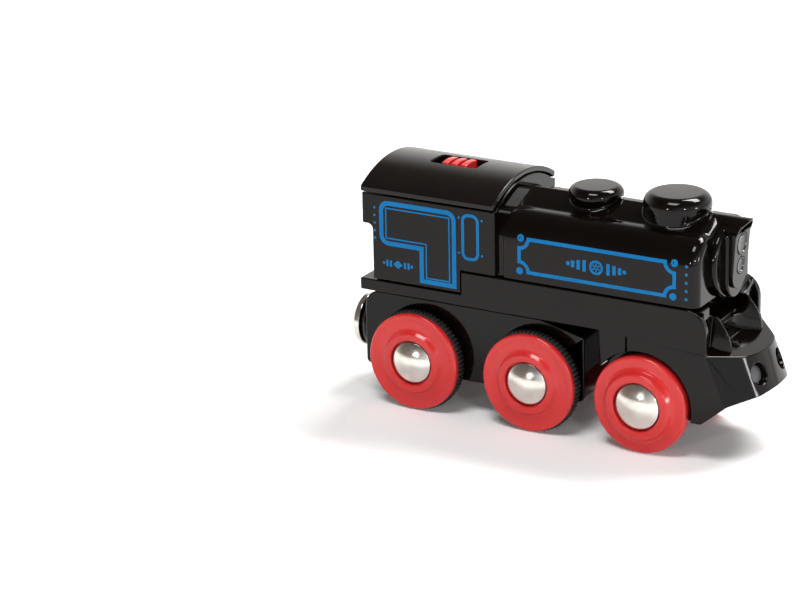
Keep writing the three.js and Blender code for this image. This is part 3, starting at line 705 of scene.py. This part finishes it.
def visor():
    """Pointed hood over the lamps: it carries on the boiler's ridge, and its flanks hollow out."""
    foot_z, brow_x, lip_length = 50.3, 46.2, 0.95
    wide = [
        (4.15, foot_z), (4.1, 51.2), (3.95, 52.0), (3.85, 52.6), (3.5, 53.0), (2.9, 53.38), (2.2, 53.72),
        (1.4, 54.07), (0.7, 54.3), (0, 54.4),
    ]
    narrow = [
        (3.6, foot_z), (3.3, 51.0), (3.05, 51.8), (3.0, 52.5), (2.8, 52.95), (2.4, 53.35), (1.9, 53.7),
        (1.25, 54.07), (0.65, 54.3), (0, 54.4),
    ]
    rings = []
    for x, share in ((36.5, 0), (41.0, 0), (43.0, 0.12), (44.8, 0.45), (46.2, 0.85), (46.9, 1), (47.15, 1)):
        half = [(a + (c - a) * share, b + (d - b) * share) for (a, b), (c, d) in zip(narrow, wide)]
        reach = max(0, x - brow_x) / lip_length
        rings.append([(x + reach * between(VISOR_LIP, z), y, z) for y, z in mirrored(half)])
    lip = rings[-1]
    for inset, depth in ((0.55, 0.1), (0.6, 1.5)):
        scale = 1 - inset / 4.1
        rings.append([(x - depth, y * scale, foot_z + (z - foot_z) * scale) for x, y, z in lip])
    hood = loft(rings)
    soften(hood, 0.16, 3, 42)
    piece(hood, "lamp_peak", "frame", "black_gloss", BLACK, "headlamp_visor", sharp=50)


# ---------- frame and plough
PLOUGH_HALF, CREASE_Y = 15.1, 8.2
PLOUGH_TOP, PLOUGH_LOW = (44.5, 25.9), (49.4, 14.3)  # (x, z) of its upper and lower corner at the side
STUD_PLACE, STUD_FACE = (53.15, 5.6, 20.1), (0.914, 0.22, 0.34)  # the left disc, and the way it faces


def wheel_well(sign):
    """Round pocket for a front wheel in one side of the frame."""
    return rod(12.6, *sorted((sign * 11.4, sign * 20)), "y", (FRONT_AXLE, 0, WHEEL_R), 96)


def plough_plan(y, edge, shoulder, nose):
    """X of a front edge of the plough: a bow in the middle and, past a soft crease, a straight flank."""
    softness = 0.22
    reach = abs(y)
    flank = shoulder + (edge - shoulder) * (reach - CREASE_Y) / (PLOUGH_HALF - CREASE_Y)
    bow = nose - (nose - shoulder) * (reach / CREASE_Y) ** 2.2
    return nose - softness * math.log(math.exp((nose - flank) / softness) + math.exp((nose - bow) / softness))


def plough():
    """Solid plough, wider at its foot, to weld to the frame."""
    back_x = 38
    (top_x, top_z), (low_x, low_z) = PLOUGH_TOP, PLOUGH_LOW
    ys = [-PLOUGH_HALF, -13.4, -11.7, -10.6, -9.8, -9.2, -8.7, -8.2, -7.7, -7.2, -6.6, -6, -5, -4, -3, -2, -1]
    rings = []
    for y in ys + [0] + [-y for y in reversed(ys)]:
        x_top, x_low = plough_plan(y, top_x, 51.0, 52.6), plough_plan(y, low_x, 54.6, 55.85)
        z_top = top_z - (x_top - top_x) * 0.19
        z_low = low_z + 1.75 * math.sin(min(1, (PLOUGH_HALF - abs(y)) / 13) * math.pi / 2)
        rings.append([(back_x, y, 27.1), (x_top, y, z_top), (x_low, y, z_low), (back_x, y, z_low)])
    return loft(rings)


def on_plough(obj, sign):
    """Moves a turned part made along Z to its place on one side of the plough's face."""
    x, y, z = STUD_PLACE
    face = Vector((STUD_FACE[0], sign * STUD_FACE[1], STUD_FACE[2])).normalized()
    turn = face.to_track_quat("Z", "X").to_matrix().to_4x4()
    obj.data.transform(Matrix.Translation((x, sign * y, z)) @ turn)
    return obj


def frame_body():
    """Frame: a deck over the truck, a box for the front wheels and the plough with its two discs."""
    deck_under = 27.75
    side = rounded([
        (DECK_REAR, deck_under), (DECK_REAR, DECK_Z), (STEP_X, DECK_Z), (STEP_X, BELT_Z),
        (44.45, BELT_Z, 6.5), (*PLOUGH_TOP, 0.3), (*PLOUGH_LOW, 0.8), (43.4, SKIRT_Z, 1.6),
        (18.9, SKIRT_Z, 0.6), (17.9, deck_under),
    ], 10)
    body = prism(side, "y", -SIDE, SIDE)
    weld(body, plough())
    inside = SIDE - WALL
    above_nose = [(42.3, 27), (42.3, 40), (60, 40), (60, 22.94), PLOUGH_TOP, (42.3, 26.3)]
    nose = prism(above_nose, "y", -inside, inside)
    saddle = prism(rounded([(8.4, 40), (8.4, 30.2, 2.4), (-8.4, 30.2, 2.4), (-8.4, 40)], 8), "x", 38.2, 43)
    wheel_box = box((21, 42), (-9.8, 9.8), (SKIRT_Z - 1, 24.7))
    nose_box = box((41, 60), (-inside, inside), (SKIRT_Z - 2, 13.0))
    cutters = [nose, saddle, wheel_box, nose_box]
    for _, sign in SIDES:
        seam = box((24.58, 24.92), sorted((sign * 14.2, sign * 16)), (20, 27.2))
        cutters += [wheel_well(sign), seam]
    cut(body, *cutters)
    for _, sign in SIDES:
        socket = revolve([(0, -1.3), (2.35, -1.3), (2.7, 1.5), (0, 1.5)], "z", (0, 0, 0), 48)
        cut(body, on_plough(socket, sign))
    soften(body, 0.28, 3, 24)
    piece(body, "frame_moulding", "frame", "black_gloss", BLACK, "chassis_frame")
    profile = rounded([(0, -2.2), (2.0, -2.2), (2.0, -0.85, 0.25), (0, -0.8)], 4, False)
    for name, sign in SIDES:
        stud = on_plough(revolve(profile, "z", (0, 0, 0), 40), sign)
        piece(stud, f"plough_disc_{name}", "frame", "black_matt", STUD, f"plough_stud_{name}")


# X of the fins' front rim by height, and Z of the wall's top edge by distance from the centre line.
FIN_RIM = ((24.0, 47.8), (25.6, 47.75), (26.8, 47.65), (28.0, 47.4), (29.2, 46.9), (30.2, 46.3), (31.3, 45.5),
           (32.3, 44.75), (33.2, 43.95), (36.0, 43.4))
NOSE_TOP = ((0, 29.5), (3.4, 29.55), (4.5, 29.7), (5.6, 29.95), (6.7, 30.7), (7.5, 31.8), (8.2, 33.1),
            (8.7, 33.3), (10.6, 34.1), (13.5, 35.5))


def nose_wall():
    """Front wall under the smokebox: a cradle-shaped top edge with a wedge-shaped fin on each side of it."""
    wall_x, back_x, foot_z, rows = 43.2, 42.1, 24.4, 14
    outer = SIDE - WALL - 0.05

    def places(share):
        """Distances from the centre line at which the wall's columns stand, at a share of its height."""
        fold = 10.6 - 1.85 * share
        rim_inner, rim_outer = 8.0 + 0.2 * share, 8.8 - 0.2 * share
        beyond = [fold + (outer - fold) * k / 3 for k in range(4)]
        return [0, 1.7, 3.4, 4.5, 5.6, 6.7, 7.5, rim_inner, rim_outer] + beyond

    def front(reach, z, share):
        rim = between(FIN_RIM, z)
        rim_inner, rim_outer, fold = places(share)[7:10]
        if reach >= fold:
            return wall_x
        if reach >= rim_outer:
            return wall_x + (rim - wall_x) * (fold - reach) / (fold - rim_outer)
        if reach >= rim_inner:
            return rim
        return wall_x - 0.3 + (rim - wall_x + 0.3) * (max(0, reach - 3.0) / (rim_inner - 3.0)) ** 1.3

    columns = []
    for index in range(len(places(0))):
        column = []
        for k in range(rows + 1):
            share = k / rows
            reach = places(share)[index]
            z = foot_z + (between(NOSE_TOP, reach) - foot_z) * share
            column.append((front(reach, z, share), reach, z))
        column.append((back_x, column[-1][1], column[-1][2]))
        column.append((back_x, column[0][1], foot_z))
        columns.append(column)
    rings = [[(x, -y, z) for x, y, z in column] for column in reversed(columns[1:])] + columns
    wall = loft(rings)
    soften(wall, 0.16, 2, 30)
    piece(wall, "nose_cradle", "frame", "black_gloss", BLACK, "nose_fin_left", "nose_fin_right")


# ---------- motor truck
def truck():
    """Truck's housing, open at the top for the cover, with a blister under each axle gear."""
    side = rounded([
        (TRUCK_REAR, TRUCK_BOTTOM, 1.2), (TRUCK_FRONT, TRUCK_BOTTOM, 1.5), (TRUCK_FRONT, 23.7, 0.8),
        (1.0, TRUCK_TOP), (TRUCK_REAR, TRUCK_TOP, 4.0),
    ], 10)
    body = prism(side, "y", -TRUCK_SIDE, TRUCK_SIDE)
    floor, roof_under, above = TRUCK_BOTTOM + WALL, TRUCK_TOP - WALL, TRUCK_TOP + 1
    room = prism([
        (TRUCK_REAR + WALL, floor), (TRUCK_FRONT - WALL, floor), (TRUCK_FRONT - WALL, 22.1),
        (-0.6, roof_under), (-0.6, above), (TRUCK_REAR + 4, above), (TRUCK_REAR + 4, roof_under),
        (TRUCK_REAR + WALL, TRUCK_TOP - 4),
    ], "y", WALL - TRUCK_SIDE, TRUCK_SIDE - WALL)
    seat = box((TRUCK_REAR + 3, 1.0), (0.8 - TRUCK_SIDE, TRUCK_SIDE - 0.8), (roof_under, above))
    cutters = [room, seat]
    for x in (REAR_AXLE, 0):
        weld(body, box((x - 6.1, x + 6.1), (-4, 4), (6.5, 9.5)))
        cutters.append(box((x - 4.9, x + 4.9), (-2.8, 2.8), (7.7, 12)))
        cutters.append(rod(AXLE_R + 0.2, -SIDE, SIDE, "y", (x, 0, TYRE_R), 32))
    cut(body, *cutters)
    soften(body, 0.35)
    piece(body, "truck_moulding", "truck", "black_gloss", BLACK, "truck_housing")


def coupling():
    """Magnet's sleeve on the truck's rear, and its steel cap."""
    z = middle("coupling_magnet").z / MM
    root = TRUCK_REAR - 0.2
    sleeve = rounded([(4.9, -50.6), (5.85, -50.6, 0.3), (6.45, -49.4, 0.6), (6.5, root), (4.9, root)], 5)
    sleeve = revolve(sleeve, "x", (0, 0, z), 80)
    piece(sleeve, "coupling_sleeve", "truck", "black_gloss", BLACK, "magnet_holder")
    cap = rounded([(0, -53.0), (5.6, -53.0, 0.5), (6.4, -52.3, 0.4), (6.4, -50.9, 0.2), (0, -50.9)], 6, False)
    cap = revolve(cap, "x", (0, 0, z), 80)
    piece(cap, "coupling_face", "truck", "steel", STEEL, "magnet_cap")


# ---------- wheels
FACE = 16.0  # distance of the rims' outer faces from the centre line
DRIVEN_R = 11.75
CAP_SEAT, CAP_FOOT = 15.6, 15.7  # floor of the recess for the hub cap, and the cap's inner face
TYRE_SEAT_R, TYRE_INNER_R, TREAD_R = 9.4, 9.45, TYRE_R + 0.2
TYRE_SEAT_Y = FACE - 1.25
BORE_R = 1.8


def wheel_profile(driven):
    """(radius, distance from the centre line) round a wheel's section: recess, boss, dished web, rim."""
    if driven:
        outside = [
            (5.45, CAP_SEAT), (5.45, 16.75, 0.1), (5.75, 16.95, 0.2), (7.05, 16.95, 0.4), (7.7, 16.1, 0.4),
            (8.2, 15.98, 0.4), (9.9, 15.92, 0.6), (10.8, FACE, 0.6), (DRIVEN_R, 15.95, 0.72),
            (DRIVEN_R, TYRE_SEAT_Y, 0.2), (TYRE_SEAT_R, TYRE_SEAT_Y, 0.1), (TYRE_SEAT_R, 12.0, 0.3),
            (BORE_R, 12.0), (BORE_R, CAP_SEAT),
        ]
    else:
        outside = [
            (5.85, CAP_SEAT), (5.85, 17.15, 0.1), (6.2, 17.35, 0.2), (7.75, 17.35, 0.6), (8.45, FACE, 0.6),
            (9.1, 15.7, 0.5), (10.2, 15.7, 0.6), (WHEEL_R, 15.75, 1.15), (WHEEL_R, 12.1, 1.1),
            (BORE_R, 12.1), (BORE_R, CAP_SEAT),
        ]
    return rounded(outside, 7)


def on_side(profile, sign):
    """Profile of the wheel on one side, as (radius, y)."""
    return [(radius, sign * distance) for radius, distance in profile]


def tyre_mesh(x, z, sign):
    """Rubber band with fine cross teeth."""
    teeth, depth, crown = 72, 0.42, 1.12
    tooth_shape = ((0.0, 0.0), (0.16, 0.0), (0.30, 1.0), (0.5, crown), (0.70, 1.0), (0.84, 0.0))
    inner_y, outer_y = 12.45, TYRE_SEAT_Y - 0.04
    root = TREAD_R - depth
    rows = [
        (TYRE_INNER_R, inner_y, 0.0), (root - 0.4, inner_y, 0.0), (root - 0.12, inner_y + 0.15, 1.0),
        (root, inner_y + 0.4, 1.0), (root, outer_y - 0.3, 1.0),
        (root - 0.1, outer_y - 0.1, 1.0), (root - 0.3, outer_y, 0.4), (TYRE_INNER_R, outer_y, 0.0),
    ]
    rings = []
    for base, y, tooth in rows:
        ring = []
        for i in range(teeth):
            for part, lift in tooth_shape:
                angle = 2 * math.pi * (i + part) / teeth
                radius = base + tooth * lift * depth / crown
                ring.append((x + radius * math.cos(angle), sign * y, z + radius * math.sin(angle)))
        rings.append(ring)
    rings.append(rings[0])
    return loft(rings, caps=False)


def wheelset(name, x, z, driven, cap_radius, cap_edge, tip):
    """Wheels, domed hub caps and, on a driven axle, tyres; cap_edge and tip are distances outward."""
    steps, body = 14, f"{name}_wheelset"
    for side, sign in SIDES:
        wheel = revolve(on_side(wheel_profile(driven), sign), "y", (x, 0, z), 128)
        piece(wheel, f"{name}_disc_{side}", body, "red", RED, f"{name}_wheel_{side}", sharp=60)
        dome = [(0.0, CAP_FOOT), (cap_radius, CAP_FOOT), (cap_radius, cap_edge, 0.25)]
        sag = tip - cap_edge
        sphere = (cap_radius ** 2 + sag ** 2) / (2 * sag)
        for k in range(steps):
            radius = cap_radius * (1 - (k + 1) / steps)
            dome.append((radius, tip - sphere + math.sqrt(sphere ** 2 - radius ** 2)))
        cap = revolve(on_side(rounded(dome, 4, False), sign), "y", (x, 0, z), 72)
        piece(cap, f"{name}_cap_{side}", body, "steel", STEEL, f"{name}_hub_cap_{side}", sharp=60)
        if driven:
            tyre = tyre_mesh(x, z, sign)
            piece(tyre, f"{name}_tread_{side}", body, "tyre", TYRE, f"{name}_tyre_{side}", sharp=35)


# ---------- printed lining
class Print:
    """Ink lining on one side of the body: thin plates that stand just proud of the skin."""

    LIFTS = (-0.12, 0.035)  # back and front of a plate, from the skin

    def __init__(self, surface):
        self.surface = surface
        self.verts = []
        self.faces = []

    def plate(self, outline):
        start, count = len(self.verts), len(outline)
        for lift in self.LIFTS:
            self.verts += [(u, self.surface(v) + lift, v) for u, v in outline]
        front = list(range(start + count, start + 2 * count))
        self.faces += [list(range(start, start + count)), front]
        for i in range(count):
            j = (i + 1) % count
            self.faces.append((start + i, start + j, start + count + j, start + count + i))

    def stroke(self, path, width, closed=True):
        """A line of even width along a path."""
        count = len(path)
        left, right = [], []
        for i, point in enumerate(path):
            here = Vector(point)
            last = Vector(path[i - 1]) if closed or i > 0 else None
            following = Vector(path[(i + 1) % count]) if closed or i < count - 1 else None
            a = (here - last).normalized() if last is not None else None
            b = (following - here).normalized() if following is not None else None
            a, b = a or b, b or a
            normal = Vector((-(a + b).y, (a + b).x)).normalized()
            reach = width / 2 / max(0.5, normal.dot(Vector((-a.y, a.x))))
            left.append(here + normal * reach)
            right.append(here - normal * reach)
        start = len(self.verts)
        for lift in self.LIFTS:
            for line in (left, right):
                self.verts += [(p.x, self.surface(p.y) + lift, p.y) for p in line]
        low_left, low_right, high_left, high_right = (start + k * count for k in range(4))
        for i in range(count if closed else count - 1):
            j = (i + 1) % count
            for p, q in ((low_left, low_right), (low_right, high_right), (high_right, high_left),
                         (high_left, low_left)):
                self.faces.append((p + i, p + j, q + j, q + i))
        if not closed:
            for i in (0, count - 1):
                self.faces.append((low_left + i, low_right + i, high_right + i, high_left + i))

    def dot(self, u, v, radius):
        self.plate(arc(u, v, radius, 0, 360 - 360 / 20, 19))

    def bar(self, u, v, half_width, half_height):
        self.plate([(u - half_width, v - half_height), (u + half_width, v - half_height),
                    (u + half_width, v + half_height), (u - half_width, v + half_height)])

    def make(self, name, sign):
        obj = shape([(x, sign * y, z) for x, y, z in self.verts], self.faces)
        piece(obj, name, "frame", "blue_print", BLUE, sharp=30)


def rivets(u, first, last, count):
    """Evenly spaced places up or down a line at u."""
    return [(u, first + (last - first) * i / (count - 1)) for i in range(count)]


def cab_print(side, sign):
    """Double border round the cab's panel, a window, rivets and a small ornament."""
    ink = Print(lambda v: SIDE)
    left, right, top, low, step_x, step_z = -38.7, -19.35, 50.0, 32.3, -28.0, 40.2
    ink.stroke(rounded([
        (left, top, 1.9), (right, top, 1.9), (right, low), (step_x, low), (step_x, step_z),
        (left, step_z, 1.9),
    ]), 1.1)
    inner = 1.25
    ink.stroke([
        (left + inner, top - inner), (right - inner, top - inner), (right - inner, low + 0.9),
        (step_x + inner, low + 0.9), (step_x + inner, step_z + inner), (left + inner, step_z + inner),
    ], 0.32)
    ink.stroke(rounded_box((-17.0, -13.1), (50.1, 39.6), 1.45, 8), 0.72)
    for u, v in rivets(-40.5, 48.5, 41.1, 5):
        ink.dot(u, v, 0.3)
    for u, v in ((-18.0, 49.3), (-18.0, 40.8), (-12.0, 49.3), (-12.0, 40.8)):
        ink.dot(u, v, 0.28)
    # small ornament under the window: a lozenge between two pairs of bars
    u, v = -34.4, 35.3
    ink.plate([(u - 1.25, v), (u, v - 1.0), (u + 1.25, v), (u, v + 1.0)])
    for way in (-1, 1):
        for reach in (1.9, 2.85):
            ink.bar(u + way * reach, v, 0.28, 0.78)
        ink.dot(u + way * 3.75, v, 0.34)
    ink.make(f"cab_lining_{side}", sign)


def boiler_print(side, sign):
    """Notched border round the boiler's panel, rivets and an ornament."""
    ink = Print(boiler_width)
    left, right, top, low = -2.6, 36.4, 46.45, 38.55
    notch = 2.3
    path = []
    for u, v, start in ((left, top, 0), (left, low, 90), (right, low, 180), (right, top, 270)):
        path += arc(u, v, notch, start, start - 90, 8)
    ink.stroke(path, 0.85)
    for u, v in ((left + 0.35, top + 0.1), (left + 0.1, low + 0.1), (right - 0.05, top), (right - 0.3, low)):
        ink.dot(u, v, 0.86)
    for u, v in rivets(39.35, 46.1, 38.4, 5):
        ink.dot(u, v, 0.36)
    # plain ornament in the middle of the panel: a wheel-like rosette between stepped bars
    u, v = 17.0, 42.4
    ink.stroke(arc(u, v, 1.45, 0, 360 - 12, 29), 0.55)
    for k in range(6):
        angle = math.radians(60 * k + 30)
        tip = Vector((math.cos(angle), math.sin(angle)))
        spoke = [(u + 0.25 * tip.x, v + 0.25 * tip.y), (u + 1.3 * tip.x, v + 1.3 * tip.y)]
        ink.stroke(spoke, 0.3, closed=False)
    for way in (-1, 1):
        for reach, half in ((3.0, 1.35), (4.5, 1.1), (5.9, 0.8)):
            ink.bar(u + way * reach, v, 0.42, half)
        ink.dot(u + way * 7.1, v, 0.5)
    ink.make(f"boiler_lining_{side}", sign)


# ---------- charging inlet
def inlet():
    """Charging inlet in the cab's rear wall, with its light."""
    x0, x1 = CAB_WALL + 0.35, CAB_WALL + 6

    def outline(foot, half, low, mid, high, radius):
        return rounded([
            (-foot, low, radius), (foot, low, radius), (half, mid, radius), (half, high, radius),
            (-half, high, radius), (-half, mid, radius),
        ], 4)

    shell = prism(outline(3.0, 3.9, 35.1, 36.1, 38.4, 0.4), "x", x0, x1)
    cut(shell, prism(outline(2.75, 3.6, 35.4, 36.3, 38.1, 0.3), "x", x0 - 1, x1 - 0.6))
    soften(shell, 0.08)
    piece(shell, "inlet_shell", "frame", "steel", STEEL, "charging_socket")
    tongue = soften(box((x0 + 0.8, x1 - 0.3), (-2.4, 2.4), (36.85, 37.5)), 0.1)
    piece(tongue, "inlet_tongue", "frame", "black_matt", MATT)
    profile = [(0, CAB_WALL + 4), (1.05, CAB_WALL + 4), (1.05, CAB_WALL + 0.1, 0.3), (0, CAB_WALL)]
    lamp = revolve(rounded(profile, 5, False), "x", (0, 0, CHARGE_LIGHT_Z), 32)
    piece(lamp, "inlet_lamp", "frame", "lamp_grey", GREY, "charging_light")


cab_shell()
roof()
switch()
boiler()
boiler_fittings()
smokebox()
lamps()
visor()
frame_body()
nose_wall()
truck()
coupling()
for set_name, axle_x in (("rear", REAR_AXLE), ("middle", 0)):
    wheelset(set_name, axle_x, TYRE_R, True, 5.1, 16.5, CAP_TIP + 0.1)
wheelset("front", FRONT_AXLE, WHEEL_R, False, 5.5, 16.8, CAP_TIP + 0.4)
for side_name, side_sign in SIDES:
    cab_print(side_name, side_sign)
    boiler_print(side_name, side_sign)
inlet()


# ---------- floor and light
def add_floor():
    mesh = bpy.data.meshes.new("floor")
    half = 6.0
    corners = [(-half, -half, 0), (half, -half, 0), (half, half, 0), (-half, half, 0)]
    mesh.from_pydata(corners, [], [(0, 1, 2, 3)])
    floor = bpy.data.objects.new("floor", mesh)
    bpy.context.scene.collection.objects.link(floor)
    material, tree, shader, place = begin("floor")
    tree.links.new(
        ramp(tree, noise(tree, place, 60, 3), [(0.3, (0.84, 0.84, 0.835)), (0.7, (0.86, 0.86, 0.855))]),
        shader.inputs["Base Color"],
    )
    tree.links.new(spread(tree, noise(tree, place, 20, 3), 0.7, 0.85), shader.inputs["Roughness"])
    shader.inputs["Specular IOR Level"].default_value = 0.2
    mesh.materials.append(material)


def add_light(name, place, aim, size, power, tint=(1, 1, 1)):
    data = bpy.data.lights.new(name, "AREA")
    data.shape = "RECTANGLE"
    data.size, data.size_y = size
    data.energy = power
    data.color = tint
    light = bpy.data.objects.new(name, data)
    bpy.context.scene.collection.objects.link(light)
    light.location = place
    light.rotation_mode = "QUATERNION"
    light.rotation_quaternion = (Vector(place) - Vector(aim)).to_track_quat("Z", "Y")


def blend(tree, share, first, second):
    """Colour that goes from first to second as a share goes from 0 to 1."""
    node = tree.nodes.new("ShaderNodeMix")
    node.data_type = "RGBA"
    factor, a, b = [s for s in node.inputs if s.enabled]
    tree.links.new(share, factor)
    tree.links.new(first, a)
    tree.links.new(second, b)
    return [s for s in node.outputs if s.enabled][0]


def toward(tree, place, direction, start, stop):
    """0 to 1 as the direction looked in turns towards a given one."""
    node = tree.nodes.new("ShaderNodeVectorMath")
    node.operation = "DOT_PRODUCT"
    node.inputs[1].default_value = direction
    tree.links.new(place, node.inputs[0])
    return spread(tree, node.outputs["Value"], 0, 1, start, stop)


def add_world():
    """Bright backdrop behind, a bright wall on the right, a dim warm room in front and a dark ceiling."""
    world = bpy.data.worlds.new("studio")
    world.use_nodes = True
    tree = world.node_tree
    place = tree.nodes.new("ShaderNodeTexCoord").outputs["Generated"]
    split = tree.nodes.new("ShaderNodeSeparateXYZ")
    tree.links.new(place, split.inputs["Vector"])
    height = split.outputs["Z"]
    behind = ramp(tree, height, [
        (0.0, (0.80, 0.78, 0.76)), (0.36, (0.84, 0.82, 0.79)), (0.52, (0.50, 0.48, 0.46)),
        (0.66, (0.10, 0.095, 0.09)), (1.0, (0.06, 0.06, 0.06)),
    ])
    front = ramp(tree, height, [
        (0.0, (0.20, 0.16, 0.14)), (0.3, (0.14, 0.115, 0.105)), (0.7, (0.08, 0.07, 0.065)),
        (1.0, (0.06, 0.06, 0.06)),
    ])
    right = ramp(tree, height, [
        (0.0, (0.80, 0.81, 0.86)), (0.3, (0.74, 0.76, 0.82)), (0.55, (0.18, 0.18, 0.20)),
        (1.0, (0.10, 0.10, 0.10)),
    ])
    around = blend(tree, toward(tree, place, (0.95, -0.31, 0), 0.35, 0.85), front, right)
    around = blend(tree, toward(tree, place, (-0.31, 0.95, 0), -0.15, 0.45), around, behind)
    tree.links.new(around, tree.nodes["Background"].inputs["Color"])
    tree.nodes["Background"].inputs["Strength"].default_value = 1.6
    bpy.context.scene.world = world


add_floor()
add_world()
add_light("key", (0.0, -0.45, 1.15), (0.0, 0.0, 0.0), (0.5, 0.4), 9.3)
add_light("backdrop_top", (0.25, 0.55, 0.95), (0.2, 0.3, 0.0), (0.7, 0.3), 17.0)
add_light("spot_left", (-0.142, -1.16, 0.27), (0.0, 0.0, 0.03), (0.07, 0.05), 2.4)
add_light("spot_right", (0.879, -0.738, 0.351), (0.0, 0.0, 0.03), (0.07, 0.05), 2.4)
add_light("side", (0.886, -0.031, 0.156), (0.0, 0.0, 0.03), (0.12, 0.12), 1.2)
bpy.context.scene.view_settings.view_transform = "Standard"
